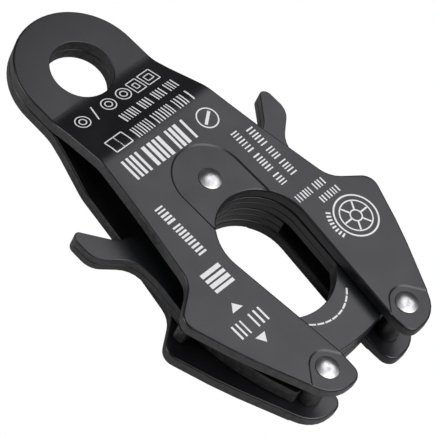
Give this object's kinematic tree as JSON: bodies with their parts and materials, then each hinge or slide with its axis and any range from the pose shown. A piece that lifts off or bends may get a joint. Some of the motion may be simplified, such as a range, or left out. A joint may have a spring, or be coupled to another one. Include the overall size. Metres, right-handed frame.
{
  "type": "double-jaw quick connector",
  "caption": "Rope-rescue style connector: joggled side plates with a closed eye, and self-closing hooked jaws on one pivot that open with side levers.",
  "frame": {"origin": "centre of the eye's hole, on the plane where the two side plates meet", "axes": "+Z out of the front plate along the eye's hole and the pivot, +Y from the mouth towards the eye, +X towards the right-hand lever"},
  "size_m": [0.0756, 0.1309, 0.02],
  "materials": {
    "plate": "satin black anodised aluminium",
    "jaw": "satin black anodised aluminium",
    "rivet": "turned stainless steel",
    "spacer": "black anodised aluminium",
    "spring": "spring wire",
    "washer": "nylon"
  },
  "bodies": {
    "frame": {"front_plate": "plate", "rear_plate": "plate", "pivot_rivet": "rivet", "pivot_bush": "rivet", "front_thrust_washer": "washer", "centre_thrust_washer": "washer", "rear_thrust_washer": "washer", "tip_rivets": "rivet", "tip_spacers": "spacer"},
    "right_jaw": {"right_jaw_outer_plate": "jaw", "right_jaw_inner_plate": "jaw", "right_jaw_rivets": "rivet", "right_spring": "spring"},
    "left_jaw": {"left_jaw_inner_plate": "jaw", "left_jaw_outer_plate": "jaw", "left_jaw_rivets": "rivet", "left_spring": "spring"}
  },
  "joints": [
    {"name": "right_jaw_swing", "type": "hinge", "parent": "frame", "child": "right_jaw", "pos_m": [0, -0.0465, 0], "axis": [0, 0, 1], "range_deg": [0, 32], "stiffness_Nm_per_rad": 0.3, "springref_deg": -28.65, "deforming": ["right_spring"]},
    {"name": "left_jaw_swing", "type": "hinge", "parent": "frame", "child": "left_jaw", "pos_m": [0, -0.0465, 0], "axis": [0, 0, 1], "range_deg": [-32, 0], "stiffness_Nm_per_rad": 0.3, "springref_deg": 28.65, "deforming": ["left_spring"]}
  ]
}
